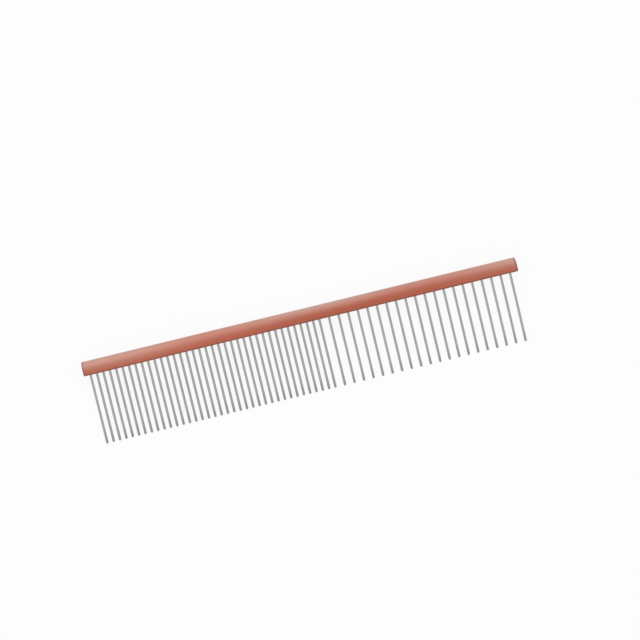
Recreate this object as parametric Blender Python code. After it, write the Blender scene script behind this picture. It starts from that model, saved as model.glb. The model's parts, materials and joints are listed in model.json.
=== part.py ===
"""Pet grooming comb: a rounded metal spine that holds a fine and a coarse run of steel pins.

Units are metres and +Z is up. The comb lies on z = 0 as it lies on a table, on the lower edge of its
spine and on the tips of its pins. X runs along the spine from the fine end to the coarse end, and the
pins point towards -Y.
"""

import math

import bmesh
import bpy
from mathutils import Matrix

# Spine section: flat where the pins enter, with straight flanks and a rounded crown
SPINE_WIDTH = 0.0060
FLANK_HEIGHT = 0.0021
CROWN_HEIGHT = 0.0040
EDGE_RADIUS = 0.0005

# Pins: straight wire with a rounded tip and a chamfered inner end
PIN_DIAMETER = 0.0011
PIN_REACH = 0.0302
PIN_END_CHAMFER = 0.00015

# Bores: blind, drilled from the flat face, with a broken edge at the mouth
BACK_WALL = 0.0018
BOND_GAP = 0.00005
MOUTH_CHAMFER = 0.0001
DRILL_POINT_ANGLE = math.radians(118)

# Runs of pins, from pin axis to pin axis, and from the end pins' axes to the ends of the spine
FINE_PINS = 37
FINE_PITCH = 0.002775
COARSE_PINS = 20
COARSE_PITCH = 0.00421
FINE_END_MARGIN = 0.0026
COARSE_END_MARGIN = 0.0033

# Facets of the round surfaces, and the angles past which an edge looks sharp and a corner is rounded
CROWN_STEPS = 24
EDGE_STEPS = 3
PIN_SIDES = 12
TIP_STEPS = 3
SHARP_ANGLE = math.radians(40)
CORNER_ANGLE = math.radians(60)

# Colours and surfaces
ROSE_ANODISED = (0.47, 0.17, 0.11)
STAINLESS_STEEL = (0.42, 0.42, 0.41)
SATIN_ROUGHNESS = 0.38
POLISHED_ROUGHNESS = 0.25

# Sizes that follow from those above
FINE_RUN = (FINE_PINS - 1) * FINE_PITCH
COARSE_RUN = COARSE_PINS * COARSE_PITCH
SPINE_LENGTH = FINE_END_MARGIN + FINE_RUN + COARSE_RUN + COARSE_END_MARGIN
SPINE_HEIGHT = FLANK_HEIGHT + CROWN_HEIGHT
PIN_RADIUS = PIN_DIAMETER / 2
BORE_RADIUS = PIN_RADIUS + BOND_GAP
BORE_DEPTH = SPINE_HEIGHT - BACK_WALL
PIN_SEAT = BORE_DEPTH - BOND_GAP
WELD = 1e-7


def remove_scene_objects():
    """Empty the scene."""
    for old in list(bpy.data.objects):
        bpy.data.objects.remove(old)


def metal(name, colour, roughness):
    """A metallic Principled BSDF material of one linear colour."""
    material = bpy.data.materials.new(name)
    material.use_nodes = True
    shader = material.node_tree.nodes["Principled BSDF"]
    shader.inputs["Base Color"].default_value = (*colour, 1)
    shader.inputs["Metallic"].default_value = 1
    shader.inputs["Roughness"].default_value = roughness
    return material


def finish_mesh(bm, name):
    """The bmesh as a mesh with its faces outward, smooth but for its sharp edges."""
    bmesh.ops.recalc_face_normals(bm, faces=bm.faces)
    mesh = bpy.data.meshes.new(name)
    bm.to_mesh(mesh)
    bm.free()
    mesh.shade_smooth()
    mesh.set_sharp_from_angle(angle=SHARP_ANGLE)
    return mesh


def add_object(name, mesh, parent, material=None):
    """A scene object for a mesh, carried by the parent."""
    item = bpy.data.objects.new(name, mesh)
    bpy.context.scene.collection.objects.link(item)
    item.parent = parent
    if material:
        item.data.materials.clear()
        item.data.materials.append(material)
    return item


def turned(profile, name):
    """A closed body turned about Z from points of radius and height, the first and last on the axis."""
    bm = bmesh.new()
    verts = [bm.verts.new((radius, 0, height)) for radius, height in profile]
    edges = [bm.edges.new(pair) for pair in zip(verts, verts[1:])]
    bmesh.ops.spin(
        bm, geom=verts + edges, cent=(0, 0, 0), axis=(0, 0, 1), angle=math.tau, steps=PIN_SIDES
    )
    bmesh.ops.remove_doubles(bm, verts=bm.verts, dist=WELD)
    return finish_mesh(bm, name)


def pin_stations():
    """The place of each pin's axis along the spine: the fine pins, then the coarse ones."""
    first = FINE_END_MARGIN - SPINE_LENGTH / 2
    fine = [first + i * FINE_PITCH for i in range(FINE_PINS)]
    coarse = [fine[-1] + (i + 1) * COARSE_PITCH for i in range(COARSE_PINS)]
    return fine, coarse


def across_the_spine(station):
    """Turns a body made along Z to point its +Z out of the spine's flat face, at a station."""
    return Matrix.Translation((station, 0, 0)) @ Matrix.Rotation(math.pi / 2, 4, "X")


def pin_mesh():
    """One pin: a chamfered inner end, a straight shank and a round tip. The flat face is at height 0."""
    profile = [
        (0, -PIN_SEAT),
        (PIN_RADIUS - PIN_END_CHAMFER, -PIN_SEAT),
        (PIN_RADIUS, PIN_END_CHAMFER - PIN_SEAT),
    ]
    for step in range(TIP_STEPS + 1):
        turn = math.pi / 2 * step / TIP_STEPS
        radius = PIN_RADIUS * math.cos(turn) if step < TIP_STEPS else 0
        profile.append((radius, PIN_REACH - PIN_RADIUS + PIN_RADIUS * math.sin(turn)))
    return turned(profile, "pin")


def drill_mesh():
    """The hole for one pin: a drill's point, a straight bore and a cone that breaks the mouth's edge."""
    point = BORE_RADIUS / math.tan(DRILL_POINT_ANGLE / 2)
    profile = [
        (0, -BORE_DEPTH - point),
        (BORE_RADIUS, -BORE_DEPTH),
        (BORE_RADIUS, -MOUTH_CHAMFER),
        (BORE_RADIUS + 2 * MOUTH_CHAMFER, MOUTH_CHAMFER),
        (0, MOUTH_CHAMFER),
    ]
    return turned(profile, "drill")


def drill_row(parent):
    """The drills at all stations, as one hidden cutter."""
    fine, coarse = pin_stations()
    drill = drill_mesh()
    bm = bmesh.new()
    for station in fine + coarse:
        done = len(bm.verts)
        bm.from_mesh(drill)
        bm.verts.ensure_lookup_table()
        bmesh.ops.transform(bm, matrix=across_the_spine(station), verts=bm.verts[done:])
    cutter = add_object("drill_row", finish_mesh(bm, "drill_row"), parent)
    cutter.hide_render = True
    cutter.display_type = "WIRE"
    return cutter


def spine_bar():
    """The bar: its section drawn at the fine end, extruded to the coarse end, with rounded edges."""
    half_width = SPINE_WIDTH / 2
    outline = [(0, -half_width)]
    for step in range(CROWN_STEPS + 1):
        turn = math.pi * step / CROWN_STEPS
        outline.append((FLANK_HEIGHT + CROWN_HEIGHT * math.sin(turn), -half_width * math.cos(turn)))
    outline.append((0, half_width))
    bm = bmesh.new()
    section = bm.faces.new([bm.verts.new((-SPINE_LENGTH / 2, y, z)) for y, z in outline])
    grown = bmesh.ops.extrude_face_region(bm, geom=[section])["geom"]
    far_end = [item for item in grown if isinstance(item, bmesh.types.BMVert)]
    bmesh.ops.translate(bm, vec=(SPINE_LENGTH, 0, 0), verts=far_end)
    bmesh.ops.recalc_face_normals(bm, faces=bm.faces)
    corners = [edge for edge in bm.edges if edge.calc_face_angle() > CORNER_ANGLE]
    bmesh.ops.bevel(
        bm, geom=corners, offset=EDGE_RADIUS, segments=EDGE_STEPS, profile=0.5, affect="EDGES"
    )
    return finish_mesh(bm, "spine")


def add_spine(parent):
    """The drilled spine."""
    material = metal("rose anodised aluminium", ROSE_ANODISED, SATIN_ROUGHNESS)
    spine = add_object("spine", spine_bar(), parent, material)
    bores = spine.modifiers.new("bores", "BOOLEAN")
    bores.operation = "DIFFERENCE"
    bores.solver = "EXACT"
    bores.object = drill_row(parent)


def add_pins(parent):
    """The pins of both runs, each its own object."""
    mesh = pin_mesh()
    mesh.materials.append(metal("stainless steel wire", STAINLESS_STEEL, POLISHED_ROUGHNESS))
    for run, stations in zip(("fine", "coarse"), pin_stations()):
        for number, station in enumerate(stations, start=1):
            pin = add_object(f"{run}_pin_{number:02d}", mesh, parent)
            pin.matrix_local = across_the_spine(station)


def rest_frame():
    """The comb's plane as it lies on a table, tipped about X so that the spine's lower edge and the
    tips touch z = 0, with the origin under the middle of the whole comb."""
    edge_y = EDGE_RADIUS
    edge_z = EDGE_RADIUS - SPINE_WIDTH / 2
    tip_y = PIN_RADIUS - PIN_REACH
    apart = math.hypot(edge_y - tip_y, edge_z)
    tip_angle = math.asin((EDGE_RADIUS - PIN_RADIUS) / apart) - math.atan2(edge_z, edge_y - tip_y)
    sine = math.sin(tip_angle)
    cosine = math.cos(tip_angle)
    lift = EDGE_RADIUS - (edge_y * sine + edge_z * cosine)
    back = FLANK_HEIGHT * cosine + math.hypot(CROWN_HEIGHT * cosine, SPINE_WIDTH / 2 * sine)
    front = tip_y * cosine - PIN_RADIUS
    rest = bpy.data.objects.new("rest_frame", None)
    bpy.context.scene.collection.objects.link(rest)
    rest.location = (0, -(back + front) / 2, lift)
    rest.rotation_euler = (tip_angle, 0, 0)
    return rest


def main():
    """Build the comb."""
    remove_scene_objects()
    rest = rest_frame()
    add_spine(rest)
    add_pins(rest)


main()
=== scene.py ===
"""Looks of a pet grooming comb: a rose anodised spine and polished steel pins on white paper."""

import json
import math

import bmesh
import bpy
import numpy as np
from mathutils import Euler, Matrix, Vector


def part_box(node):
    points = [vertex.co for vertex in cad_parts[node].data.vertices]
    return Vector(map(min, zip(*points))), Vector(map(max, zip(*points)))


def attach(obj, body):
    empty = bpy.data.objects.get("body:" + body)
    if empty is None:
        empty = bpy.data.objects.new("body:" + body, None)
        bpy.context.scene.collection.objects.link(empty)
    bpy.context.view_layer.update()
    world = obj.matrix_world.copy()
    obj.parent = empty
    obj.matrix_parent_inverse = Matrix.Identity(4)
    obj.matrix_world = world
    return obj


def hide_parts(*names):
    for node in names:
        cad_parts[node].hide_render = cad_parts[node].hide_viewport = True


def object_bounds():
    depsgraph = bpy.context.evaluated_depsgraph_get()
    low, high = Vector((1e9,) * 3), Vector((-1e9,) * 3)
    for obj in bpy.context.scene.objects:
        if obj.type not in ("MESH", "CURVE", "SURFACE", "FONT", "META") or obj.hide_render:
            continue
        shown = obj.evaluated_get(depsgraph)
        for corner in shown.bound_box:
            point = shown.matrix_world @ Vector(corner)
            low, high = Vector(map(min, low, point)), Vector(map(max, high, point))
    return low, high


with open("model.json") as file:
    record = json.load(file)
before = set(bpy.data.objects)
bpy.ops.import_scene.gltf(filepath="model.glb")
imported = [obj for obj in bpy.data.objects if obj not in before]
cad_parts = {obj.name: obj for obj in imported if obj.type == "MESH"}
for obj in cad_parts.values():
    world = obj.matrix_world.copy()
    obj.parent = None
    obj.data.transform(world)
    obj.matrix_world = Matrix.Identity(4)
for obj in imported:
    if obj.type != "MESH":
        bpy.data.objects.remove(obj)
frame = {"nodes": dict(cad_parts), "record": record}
CAD_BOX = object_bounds()

# Spine section, in metres: flat where the pins enter, straight flanks, rounded crown
SPINE_WIDTH = 0.0060
FLANK_HEIGHT = 0.0021
CROWN_HEIGHT = 0.0040
EDGE_RADIUS = 0.0005

# Pins and their blind bores, in metres
PIN_REACH = 0.0302
PIN_END_CHAMFER = 0.00015
BACK_WALL = 0.0018
BOND_GAP = 0.00005
MOUTH_CHAMFER = 0.0001
DRILL_POINT_ANGLE = math.radians(118)

# Steps of the grids
CROWN_STEPS = 48
FLANK_STEPS = 6
EDGE_STEPS = 6
CELL_STEPS_ALONG = 6
CELL_STEPS_ACROSS = 10
PIN_SIDES = 32
TIP_STEPS = 10
PAPER_STEPS = 24
PAPER_SIDES = 64
SHARP_ANGLE = math.radians(35)
WELD = 1e-7

# Dye of the spine, with sizes in metres: a slow wave along it that is deepest at one place, clouds
# (along, from pins to crown, and across) and specks
DEEP_DYE = "#C4664A"
THIN_DYE = "#D4765A"
DYE_WAVE_LENGTH = 0.200
DYE_DEEPEST = 0.022
DYE_CLOUD = (0.022, 0.005, 0.005)
DYE_SPECK = 0.0008

# Painted shade along the sharp edges, a darker tone that stands in for the dark reflections on
# their roundings: its share, full up to the first distance from a corner, in metres, and gone at
# the second
EDGE_SHADE_PAINT = "#7A4A3C"
EDGE_SHADE_SHARE = 0.75
EDGE_SHADE_FULL = 0.00020
EDGE_SHADE_GONE = 0.00070

# Painted sheen on the crown, a paler tone that stands in for the soft light along it: the height in
# metres where it starts and the power by which it grows up to the ridge, each where the dye is deep
# and where it is thin, and its share between and at the places along the spine where it is
# strongest, one of which lies just right of the middle
CROWN_SHEEN_PAINT = "#D4C3BA"
SHEEN_START_DEEP = 0.0013
SHEEN_START_THIN = 0.0010
SHEEN_POWER_DEEP = 1.8
SHEEN_POWER_THIN = 0.8
SHEEN_BETWEEN_PEAKS = 0.48
SHEEN_AT_PEAKS = 0.73
SHEEN_LOST_WHERE_THIN = 0.15
SHEEN_PEAK_SPACING = 0.092
SHEEN_PEAK_PLACE = 0.008

# Grain of the spine, in metres: the lines from drawing the bar, and the pits from blasting it,
# which are really about 0.05 mm wide and are drawn wider so that they show
BAR_LINE = (0.030, 0.0005, 0.0005)
BLAST_PIT = 0.00025
BLAST_DEPTH = 0.00005

# Steel of the pins, with sizes in metres: tone from pin to pin and along each, the share of the
# length at the tip over which it turns darker and duller, and the lines from drawing the wire,
# which are really a few hundredths of a millimetre apart and are drawn wider so that they show
DARK_STEEL = "#AEAEAE"
LIGHT_STEEL = "#BEBEBE"
TIP_STEEL = "#A2A2A2"
STEEL_CLOUD = (0.0015, 0.040, 0.040)
DARK_TIP_SHARE = 0.2
TIP_DULLNESS = 0.12
WIRE_LINE = (0.00012, 0.012, 0.00012)
WIRE_LINE_DEPTH = 0.00001

# Studio paper, in metres: flat around the comb, then swept up on all sides
PAPER_FLAT = 1.0
PAPER_EDGE = 4.0
PAPER_RISE = 2.3
PAPER_WHITE = "#FAFAFA"
PAPER_GLOW_SHARE = 0.90

# Soft lamp beyond the spine and to the left, in metres and watts, and the level of the room
LAMP_PLACE = (-0.25, 0.75, 0.8)
LAMP_WIDTH = 1.2
LAMP_HEIGHT = 1.0
LAMP_WATTS = 1.8
ROOM_LEVEL = 0.80
FULL_WHITE = "#FFFFFF"

# The photograph's view: a long lens looking down on the comb, rolled and slightly off square
IMAGE_PIXELS = 640
FOCAL_PIXELS = 1500
SENSOR_MM = 36.0
CLIP_START = 0.01
CAMERA_AIM = (0.00772, 0.01158, 0.003)
CAMERA_TURN_DEGREES = (2.216, -1.684, -13.725)
CAMERA_DISTANCE = 0.63988

# Where the frame puts the pieces
PIN_NODES = sorted(
    (name for name in frame["nodes"] if "_pin_" in name), key=lambda name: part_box(name)[0].x
)
PIN_BOXES = np.array([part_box(name) for name in PIN_NODES])
STATIONS = PIN_BOXES[:, :, 0].mean(axis=1)
PIN_RADIUS = float(np.ptp(PIN_BOXES[0, :, 0])) / 2
SPINE_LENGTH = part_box("spine")[1].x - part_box("spine")[0].x
SPINE_HEIGHT = FLANK_HEIGHT + CROWN_HEIGHT
BORE_RADIUS = PIN_RADIUS + BOND_GAP
BORE_DEPTH = SPINE_HEIGHT - BACK_WALL
PIN_SEAT = BORE_DEPTH - BOND_GAP
UPPER_FLANK = next(
    mount for mount in frame["record"]["mounts"] if mount["name"] == "upper_flank"
)


def comb_axes():
    """The comb's own axes in the row frame, as columns: along the spine, from pins to crown, and
    across. The comb is tipped about X only, and its upper flank's normal is the axis across it."""
    across = np.array(UPPER_FLANK["axis"])
    along = np.array([1.0, 0.0, 0.0])
    return np.stack([along, np.cross(across, along), across], axis=1)


AXES = comb_axes()
FLANK_MIDDLE = (0, (EDGE_RADIUS + FLANK_HEIGHT) / 2, SPINE_WIDTH / 2)
ORIGIN = np.array(UPPER_FLANK["pos_m"]) - AXES @ FLANK_MIDDLE
TIP_ANGLE = math.atan2(AXES[2, 1], AXES[1, 1])


def grid_faces(rows, columns, first=0, closed=False):
    """Four corners of each face on a grid of points, whose last column joins its first when
    closed."""
    row, column = np.mgrid[: rows - 1, : columns - (not closed)]
    after = (column + 1) % columns
    corners = np.stack(
        [
            row * columns + column,
            row * columns + after,
            (row + 1) * columns + after,
            (row + 1) * columns + column,
        ],
        axis=-1,
    )
    return first + corners.reshape(-1, 4)


def add_surface(name, grids, material):
    """One object from grids of points in the row frame, each with a word on whether its columns
    close. Points that meet at seams and poles are merged, and faces are turned out."""
    faces = []
    points = []
    count = 0
    for grid, closed in grids:
        rows, columns = grid.shape[:2]
        faces.append(grid_faces(rows, columns, count, closed))
        points.append(grid.reshape(-1, 3))
        count += rows * columns
    mesh = bpy.data.meshes.new(name)
    mesh.from_pydata(np.concatenate(points).tolist(), [], np.concatenate(faces).tolist())
    surface = bmesh.new()
    surface.from_mesh(mesh)
    bmesh.ops.remove_doubles(surface, verts=surface.verts, dist=WELD)
    bmesh.ops.recalc_face_normals(surface, faces=surface.faces)
    surface.to_mesh(mesh)
    surface.free()
    mesh.shade_smooth()
    mesh.set_sharp_from_angle(angle=SHARP_ANGLE)
    mesh.materials.append(material)
    piece = bpy.data.objects.new(name, mesh)
    bpy.context.scene.collection.objects.link(piece)
    return piece


def in_frame(own):
    """Points in the comb's own axes as points in the row frame."""
    return own @ AXES.T + ORIGIN


def linear(hex_code):
    """An sRGB hex colour as linear RGBA."""
    shown = np.array([int(hex_code[i : i + 2], 16) for i in (1, 3, 5)]) / 255
    light = np.where(shown <= 0.04045, shown / 12.92, ((shown + 0.055) / 1.055) ** 2.4)
    return (*light.tolist(), 1.0)


def add_node(tree, kind, inputs=None, **settings):
    """One node with its settings, and its inputs filled with values or linked to outputs."""
    node = tree.nodes.new(kind)
    for name, value in settings.items():
        setattr(node, name, value)
    for key, value in (inputs or {}).items():
        if isinstance(value, bpy.types.NodeSocket):
            tree.links.new(value, node.inputs[key])
        else:
            node.inputs[key].default_value = value
    return node


def new_material(name):
    """An empty node material and its tree."""
    material = bpy.data.materials.new(name)
    material.use_nodes = True
    material.node_tree.nodes.clear()
    return material, material.node_tree


def comb_place(tree):
    """The place on the comb in its own axes, in metres: along the spine, from pins to crown, and
    across."""
    place = add_node(tree, "ShaderNodeTexCoord").outputs["Object"]
    turned_back = {"Vector": place, "Location": ORIGIN, "Rotation": (TIP_ANGLE, 0, 0)}
    return add_node(tree, "ShaderNodeMapping", turned_back, vector_type="TEXTURE").outputs[0]


def cosine_along(tree, along, peak, length):
    """A cosine wave along the spine: 1 at its peak and -1 half a wave's length away."""
    past = add_node(tree, "ShaderNodeMath", {0: along, 1: -peak}, operation="ADD").outputs[0]
    phase = {0: past, 1: math.tau / length}
    phase = add_node(tree, "ShaderNodeMath", phase, operation="MULTIPLY").outputs[0]
    return add_node(tree, "ShaderNodeMath", {0: phase}, operation="COSINE").outputs[0]


def streaks(tree, own, size, detail):
    """Noise whose patches have a size in metres along the spine, from pins to crown, and across."""
    cells = add_node(tree, "ShaderNodeVectorMath", {0: own, 1: size}, operation="DIVIDE")
    noise = {"Vector": cells.outputs[0], "Scale": 1.0, "Detail": detail}
    return add_node(tree, "ShaderNodeTexNoise", noise).outputs["Fac"]


def rose_anodised_aluminium():
    """Aluminium bar, bead-blasted, dyed rose copper and sealed. To the eye it is a satin metal with
    a broad, soft light along its crown, partly painted in as a paler tone that grows up to the
    ridge, a fine even grain, dye that is a little uneven, and a thin darker line of painted shade
    along its sharp edges, standing in for the dark reflections on their roundings."""
    material, tree = new_material("anodised aluminium, bead-blasted and dyed rose copper")
    own = comb_place(tree)
    axis = add_node(tree, "ShaderNodeSeparateXYZ", {0: own})
    # 0 where the dye is deepest, right of the middle, and 1 where it is thinnest, near the ends
    swing = cosine_along(tree, axis.outputs["X"], DYE_DEEPEST, DYE_WAVE_LENGTH)
    wave = {"Value": swing, "From Min": 1.0, "From Max": -1.0}
    wave = add_node(tree, "ShaderNodeMapRange", wave).outputs[0]
    # The dye: the mean of its clouds and the wave, and specks about that level
    cloud = streaks(tree, own, DYE_CLOUD, 3.0)
    level = add_node(tree, "ShaderNodeMath", {0: cloud, 1: wave}, operation="ADD")
    level = add_node(tree, "ShaderNodeMath", {0: level.outputs[0], 1: 0.5}, operation="MULTIPLY")
    speck = {"Vector": own, "Scale": 1 / DYE_SPECK, "Detail": 2.0}
    speck = add_node(tree, "ShaderNodeTexNoise", speck).outputs["Fac"]
    speck = add_node(tree, "ShaderNodeMath", {0: speck, 1: -0.5}, operation="ADD").outputs[0]
    level = add_node(tree, "ShaderNodeMath", {0: speck, 1: level.outputs[0]}, operation="ADD")
    dye = {0: level.outputs[0], 6: linear(DEEP_DYE), 7: linear(THIN_DYE)}
    dye = add_node(tree, "ShaderNodeMix", dye, data_type="RGBA").outputs[2]
    # Painted sheen, a paler tone up to the ridge that stands in for the light along the crown:
    # close to it where the dye is deep, from lower where it is thin
    start = {"Value": wave, "To Min": SHEEN_START_DEEP, "To Max": SHEEN_START_THIN}
    start = add_node(tree, "ShaderNodeMapRange", start).outputs[0]
    power = {"Value": wave, "To Min": SHEEN_POWER_DEEP, "To Max": SHEEN_POWER_THIN}
    power = add_node(tree, "ShaderNodeMapRange", power).outputs[0]
    painted_sheen = {"Value": axis.outputs["Y"], "From Min": start, "From Max": SPINE_HEIGHT}
    painted_sheen = add_node(tree, "ShaderNodeMapRange", painted_sheen).outputs[0]
    painted_sheen = add_node(tree, "ShaderNodeMath", {0: painted_sheen, 1: power}, operation="POWER").outputs[0]
    # The painted sheen is most at places along the spine, in the middle and near the ends
    swing = cosine_along(tree, axis.outputs["X"], SHEEN_PEAK_PLACE, SHEEN_PEAK_SPACING)
    sheen_peaks = {"Value": swing, "From Min": -1.0, "To Min": SHEEN_BETWEEN_PEAKS, "To Max": SHEEN_AT_PEAKS}
    sheen_peaks = add_node(tree, "ShaderNodeMapRange", sheen_peaks).outputs[0]
    sheen_peaks = {0: wave, 1: -SHEEN_LOST_WHERE_THIN, 2: sheen_peaks}
    sheen_peaks = add_node(tree, "ShaderNodeMath", sheen_peaks, operation="MULTIPLY_ADD").outputs[0]
    painted_sheen = add_node(tree, "ShaderNodeMath", {0: painted_sheen, 1: sheen_peaks}, operation="MULTIPLY").outputs[0]
    # A quarter more or less of the painted sheen along the faint lines from drawing the bar
    sheen_lines = {"Value": streaks(tree, own, BAR_LINE, 2.0), "To Min": 0.75, "To Max": 1.25}
    sheen_lines = add_node(tree, "ShaderNodeMapRange", sheen_lines).outputs[0]
    painted_sheen = add_node(tree, "ShaderNodeMath", {0: painted_sheen, 1: sheen_lines}, operation="MULTIPLY").outputs[0]
    # The dye mixed towards a pale grey by the painted sheen on the crown
    sheen_tone = {0: painted_sheen, 6: dye, 7: linear(CROWN_SHEEN_PAINT)}
    sheen_tone = add_node(tree, "ShaderNodeMix", sheen_tone, data_type="RGBA").outputs[2]
    # Painted shade: darker along the edges, for the dark reflections on their roundings
    edge = add_node(tree, "ShaderNodeAttribute", attribute_name="edge").outputs["Fac"]
    painted_edge_shade = {0: edge, 1: EDGE_SHADE_SHARE}
    painted_edge_shade = add_node(tree, "ShaderNodeMath", painted_edge_shade, operation="MULTIPLY").outputs[0]
    tone = {0: painted_edge_shade, 6: sheen_tone, 7: linear(EDGE_SHADE_PAINT)}
    tone = add_node(tree, "ShaderNodeMix", tone, data_type="RGBA").outputs[2]
    # Pits of the blasting, and a surface that is duller where the dye is thin
    pits = {"Vector": own, "Scale": 1 / BLAST_PIT, "Detail": 2.0}
    pits = add_node(tree, "ShaderNodeTexNoise", pits).outputs["Fac"]
    bump = {"Height": pits, "Strength": 0.6, "Distance": BLAST_DEPTH}
    bump = add_node(tree, "ShaderNodeBump", bump).outputs[0]
    rough = {"Value": cloud, "To Min": 0.48, "To Max": 0.62}
    rough = add_node(tree, "ShaderNodeMapRange", rough).outputs[0]
    shader = add_node(tree, "ShaderNodeBsdfPrincipled", {
        "Base Color": tone, "Metallic": 1.0, "Roughness": rough, "Normal": bump,
        "Coat Weight": 0.5, "Coat Roughness": 0.4, "Coat IOR": 1.6})
    add_node(tree, "ShaderNodeOutputMaterial", {"Surface": shader.outputs[0]})
    return material


def stainless_wire():
    """Stainless steel wire, drawn straight and polished, its tips ground round. To the eye it is a
    bright neutral grey with a dark core and lighter sides, faint lines along its length, small
    differences from pin to pin, and darker, duller tips."""
    material, tree = new_material("stainless steel wire, drawn and polished")
    own = comb_place(tree)
    axis = add_node(tree, "ShaderNodeSeparateXYZ", {0: own})
    # Tone from pin to pin, and along each
    steel = {0: streaks(tree, own, STEEL_CLOUD, 2.0), 6: linear(DARK_STEEL), 7: linear(LIGHT_STEEL)}
    steel = add_node(tree, "ShaderNodeMix", steel, data_type="RGBA").outputs[2]
    # Darker towards the tip: the tone falls over the last part of the length
    tip_start = (DARK_TIP_SHARE - 1) * PIN_REACH
    tip = {"Value": axis.outputs["Y"], "From Min": tip_start, "From Max": -PIN_REACH}
    tip = add_node(tree, "ShaderNodeMapRange", tip).outputs[0]
    tone = {0: tip, 6: steel, 7: linear(TIP_STEEL)}
    tone = add_node(tree, "ShaderNodeMix", tone, data_type="RGBA").outputs[2]
    # Lines from drawing, in relief and in polish
    line = streaks(tree, own, WIRE_LINE, 2.0)
    bump = {"Height": line, "Strength": 0.2, "Distance": WIRE_LINE_DEPTH}
    bump = add_node(tree, "ShaderNodeBump", bump).outputs[0]
    rough = {"Value": line, "To Min": 0.16, "To Max": 0.32}
    rough = add_node(tree, "ShaderNodeMapRange", rough).outputs[0]
    dull = {0: tip, 1: TIP_DULLNESS, 2: rough}
    dull = add_node(tree, "ShaderNodeMath", dull, operation="MULTIPLY_ADD").outputs[0]
    shader = add_node(tree, "ShaderNodeBsdfPrincipled", {
        "Base Color": tone, "Metallic": 1.0, "Roughness": dull, "Normal": bump})
    add_node(tree, "ShaderNodeOutputMaterial", {"Surface": shader.outputs[0]})
    return material


def white_paper():
    """Matt white studio paper, which shows white to the camera and in the metal and keeps a soft
    shadow."""
    material, tree = new_material("matt white paper")
    ray = add_node(tree, "ShaderNodeLightPath").outputs
    seen = {0: ray["Is Camera Ray"], 1: ray["Is Glossy Ray"]}
    seen = add_node(tree, "ShaderNodeMath", seen, operation="ADD").outputs[0]
    seen = {0: seen, 1: ray["Is Transmission Ray"]}
    seen = add_node(tree, "ShaderNodeMath", seen, operation="ADD", use_clamp=True).outputs[0]
    share = {0: seen, 1: PAPER_GLOW_SHARE}
    share = add_node(tree, "ShaderNodeMath", share, operation="MULTIPLY").outputs[0]
    paper = add_node(tree, "ShaderNodeBsdfDiffuse", {"Color": linear(PAPER_WHITE)}).outputs[0]
    glow = {"Color": linear(FULL_WHITE), "Strength": 1.0}
    glow = add_node(tree, "ShaderNodeEmission", glow).outputs[0]
    mixed = add_node(tree, "ShaderNodeMixShader", {0: share, 1: paper, 2: glow})
    add_node(tree, "ShaderNodeOutputMaterial", {"Surface": mixed.outputs[0]})
    return material


def section_outline():
    """The spine's section as points from flat face to crown and across it, with outward normals: a
    round edge, a flank, half an ellipse over the crown, and the same back down. The flat face is
    left out."""
    inner = SPINE_WIDTH / 2 - EDGE_RADIUS
    turn = np.linspace(0, math.pi / 2, EDGE_STEPS + 1)
    edge_rise = EDGE_RADIUS * (1 - np.cos(turn))
    edge = np.stack([edge_rise, -inner - EDGE_RADIUS * np.sin(turn)], axis=1)
    edge_normal = np.stack([-np.cos(turn), -np.sin(turn)], axis=1)
    rise = np.linspace(EDGE_RADIUS, FLANK_HEIGHT, FLANK_STEPS + 1)[1:-1]
    flank = np.stack([rise, np.full_like(rise, -SPINE_WIDTH / 2)], axis=1)
    flank_normal = np.tile([0.0, -1.0], (len(rise), 1))
    over = np.linspace(0, math.pi, CROWN_STEPS + 1)
    crown_rise = FLANK_HEIGHT + CROWN_HEIGHT * np.sin(over)
    crown = np.stack([crown_rise, -SPINE_WIDTH / 2 * np.cos(over)], axis=1)
    crown_normal = np.stack([np.sin(over) / CROWN_HEIGHT, -np.cos(over) * 2 / SPINE_WIDTH], axis=1)
    crown_normal /= np.linalg.norm(crown_normal, axis=1, keepdims=True)
    side = np.concatenate([edge, flank])
    side_normal = np.concatenate([edge_normal, flank_normal])
    mirror = np.array([1.0, -1.0])
    outline = np.concatenate([side, crown, side[::-1] * mirror])
    normals = np.concatenate([side_normal, crown_normal, side_normal[::-1] * mirror])
    return outline, normals


def cell_edges():
    """Where the flat face is cut into one cell for each pin: half-way between pins, and at the
    ends."""
    end = SPINE_LENGTH / 2 - EDGE_RADIUS
    return np.concatenate([[-end], (STATIONS[1:] + STATIONS[:-1]) / 2, [end]])


def spine_shell(outline):
    """The section carried straight along the spine, between its rounded ends."""
    edges = cell_edges()
    part = np.arange(CELL_STEPS_ALONG) / CELL_STEPS_ALONG
    stops = (edges[:-1, None] + np.diff(edges)[:, None] * part).ravel()
    stops = np.append(stops, edges[-1])
    grid = np.empty((len(stops), len(outline), 3))
    grid[:, :, 0] = stops[:, None]
    grid[:, :, 1:] = outline
    return grid


def spine_end(outline, normals, sign):
    """An end of the spine: the closed section shrinks along its normals on a quarter circle as it
    goes out, and then closes flat to one point."""
    inner = SPINE_WIDTH / 2 - EDGE_RADIUS
    back = np.linspace(inner, -inner, CELL_STEPS_ACROSS + 1)[1:-1]
    flat = np.stack([np.zeros_like(back), back], axis=1)
    ring = np.concatenate([outline, flat])
    out = np.concatenate([normals, np.tile([-1.0, 0.0], (len(back), 1))])
    turn = np.linspace(0, math.pi / 2, EDGE_STEPS + 1)
    grid = np.empty((EDGE_STEPS + 2, len(ring), 3))
    grid[:-1, :, 0] = (SPINE_LENGTH / 2 - EDGE_RADIUS * (1 - np.sin(turn)))[:, None]
    grid[:-1, :, 1:] = ring - EDGE_RADIUS * (1 - np.cos(turn))[:, None, None] * out
    grid[-1] = (SPINE_LENGTH / 2, SPINE_HEIGHT / 2, 0)
    grid[:, :, 0] *= sign
    return grid


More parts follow.
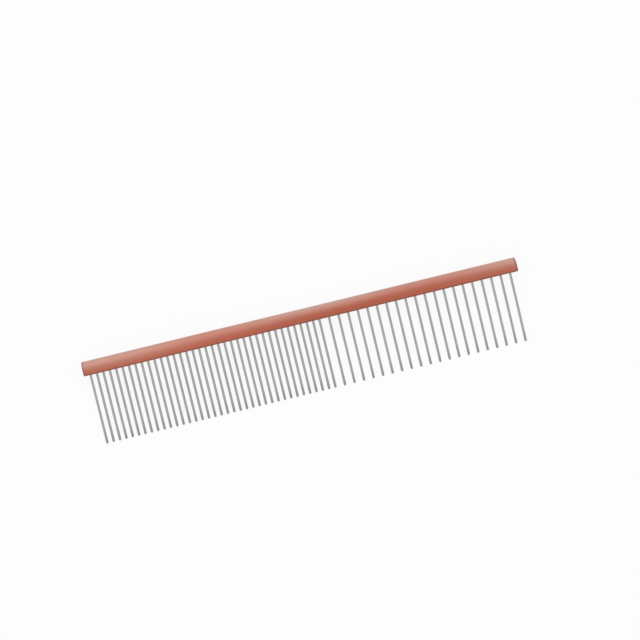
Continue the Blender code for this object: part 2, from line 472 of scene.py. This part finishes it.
def bored_cells():
    """The flat face around each pin, from the cell's edge in to the bore's mouth, and the bore: a
    chamfer, a straight wall and a drill's point. Rows go inwards, and columns go round the cell and
    the bore."""
    edges = cell_edges()
    inner = SPINE_WIDTH / 2 - EDGE_RADIUS
    around = 2 * (CELL_STEPS_ALONG + CELL_STEPS_ACROSS)
    up = np.linspace(-1, 1, CELL_STEPS_ACROSS + 1)[:-1]
    left = np.linspace(1, -1, CELL_STEPS_ALONG + 1)[:-1]
    along = np.concatenate([np.ones_like(up), left, -np.ones_like(up), -left])
    across = np.concatenate([up, np.ones_like(left), -up, -np.ones_like(left)])
    turn = math.tau * (np.arange(around) - CELL_STEPS_ACROSS / 2) / around
    middle = (edges[1:] + edges[:-1]) / 2
    half = np.diff(edges) / 2
    point = BORE_RADIUS / math.tan(DRILL_POINT_ANGLE / 2)
    radii = np.array([BORE_RADIUS + MOUTH_CHAMFER, BORE_RADIUS, BORE_RADIUS, 0])
    depths = np.array([0, MOUTH_CHAMFER, BORE_DEPTH, BORE_DEPTH + point])
    cells = np.zeros((len(STATIONS), 1 + len(radii), around, 3))
    cells[:, 0, :, 0] = middle[:, None] + half[:, None] * along
    cells[:, 0, :, 2] = inner * across
    cells[:, 1:, :, 0] = STATIONS[:, None, None] + radii[:, None] * np.cos(turn)
    cells[:, 1:, :, 1] = depths[:, None]
    cells[:, 1:, :, 2] = radii[:, None] * np.sin(turn)
    return cells


def edge_share(own):
    """How close a point is to a sharp edge: 1 on it, and falling smoothly to 0. The edges are the
    two at the flat face, and each end's outline, from which a point lies along the spine and in
    from its skin."""
    x, y, z = np.abs(own).T
    from_flat = np.hypot(y, SPINE_WIDTH / 2 - z)
    round_in = 1 - np.hypot((y - FLANK_HEIGHT) / CROWN_HEIGHT, z / (SPINE_WIDTH / 2))
    straight_in = np.minimum(y, SPINE_WIDTH / 2 - z)
    from_skin = np.where(y > FLANK_HEIGHT, round_in * SPINE_WIDTH / 2, straight_in)
    from_end = np.hypot(SPINE_LENGTH / 2 - x, from_skin)
    past_full = np.minimum(from_flat, from_end) - EDGE_SHADE_FULL
    gone = np.clip(past_full / (EDGE_SHADE_GONE - EDGE_SHADE_FULL), 0, 1)
    return 1 - gone * gone * (3 - 2 * gone)


def add_spine(material):
    """The drilled spine: its shell, its two ends and its bored flat face, merged into one skin."""
    outline, normals = section_outline()
    grids = [(spine_shell(outline), False)]
    grids += [(spine_end(outline, normals, sign), True) for sign in (-1, 1)]
    grids += [(cell, True) for cell in bored_cells()]
    placed = [(in_frame(grid), closed) for grid, closed in grids]
    spine = add_surface("rose_spine", placed, material)
    mesh = spine.data
    points = np.empty(len(mesh.vertices) * 3)
    mesh.vertices.foreach_get("co", points)
    own = (points.reshape(-1, 3) - ORIGIN) @ AXES
    mesh.attributes.new("edge", "FLOAT", "POINT").data.foreach_set("value", edge_share(own))
    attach(spine, "root")
    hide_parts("spine")


def pin_surface(station):
    """A pin turned about its axis: a flat inner end, a chamfer, a straight shank and a half-round
    tip."""
    turn = np.linspace(0, math.pi / 2, TIP_STEPS + 1)
    inner_radius = [0, PIN_RADIUS - PIN_END_CHAMFER, PIN_RADIUS]
    radius = np.concatenate([inner_radius, PIN_RADIUS * np.cos(turn)])
    radius[-1] = 0
    inner_reach = [-PIN_SEAT, -PIN_SEAT, PIN_END_CHAMFER - PIN_SEAT]
    reach = np.concatenate([inner_reach, PIN_REACH - PIN_RADIUS * (1 - np.sin(turn))])
    angle = np.linspace(0, math.tau, PIN_SIDES, endpoint=False)
    grid = np.empty((len(radius), PIN_SIDES, 3))
    grid[:, :, 0] = station + radius[:, None] * np.cos(angle)
    grid[:, :, 1] = -reach[:, None]
    grid[:, :, 2] = radius[:, None] * np.sin(angle)
    return grid


def add_pins(material):
    """One steel pin for each pin of the frame."""
    for node, station in zip(PIN_NODES, STATIONS):
        name = node.replace("_pin_", "_wire_")
        pin = add_surface(name, [(in_frame(pin_surface(station)), True)], material)
        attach(pin, "root")
        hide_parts(node)


def add_paper(material):
    """A round sheet of studio paper under the comb: it is flat, and then its height grows with the
    square of the distance past the flat."""
    radius = np.concatenate([[0], np.linspace(PAPER_FLAT, PAPER_EDGE, PAPER_STEPS)])
    past = np.maximum(radius - PAPER_FLAT, 0) / (PAPER_EDGE - PAPER_FLAT)
    turn = np.linspace(0, math.tau, PAPER_SIDES, endpoint=False)
    grid = np.empty((len(radius), PAPER_SIDES, 3))
    grid[:, :, 0] = radius[:, None] * np.cos(turn)
    grid[:, :, 1] = radius[:, None] * np.sin(turn)
    grid[:, :, 2] = CAD_BOX[0].z + PAPER_RISE * past[:, None] ** 2
    add_surface("paper", [(grid, True)], material)


def add_light():
    """One wide soft lamp that faces the comb, in a plain grey room."""
    lamp = bpy.data.lights.new("softbox", "AREA")
    lamp.shape = "RECTANGLE"
    lamp.size = LAMP_WIDTH
    lamp.size_y = LAMP_HEIGHT
    lamp.energy = LAMP_WATTS
    box = bpy.data.objects.new("softbox", lamp)
    box.location = LAMP_PLACE
    box.rotation_euler = (-box.location).to_track_quat("-Z", "Y").to_euler()
    bpy.context.scene.collection.objects.link(box)
    world = bpy.data.worlds.new("studio")
    world.use_nodes = True
    tree = world.node_tree
    tree.nodes.clear()
    room = {"Color": linear(FULL_WHITE), "Strength": ROOM_LEVEL}
    room = add_node(tree, "ShaderNodeBackground", room).outputs[0]
    add_node(tree, "ShaderNodeOutputWorld", {"Surface": room})
    bpy.context.scene.world = world


def add_camera():
    """The photograph's camera."""
    lens = bpy.data.cameras.new("camera")
    lens.sensor_width = SENSOR_MM
    lens.lens = SENSOR_MM * FOCAL_PIXELS / IMAGE_PIXELS
    lens.clip_start = CLIP_START
    camera = bpy.data.objects.new("camera", lens)
    turn = Euler([math.radians(angle) for angle in CAMERA_TURN_DEGREES])
    camera.rotation_euler = turn
    camera.location = Vector(CAMERA_AIM) + turn.to_matrix() @ Vector((0, 0, CAMERA_DISTANCE))
    bpy.context.scene.collection.objects.link(camera)
    bpy.context.scene.camera = camera


bpy.context.scene.view_settings.view_transform = "Standard"
add_spine(rose_anodised_aluminium())
add_pins(stainless_wire())
add_paper(white_paper())
add_light()
add_camera()
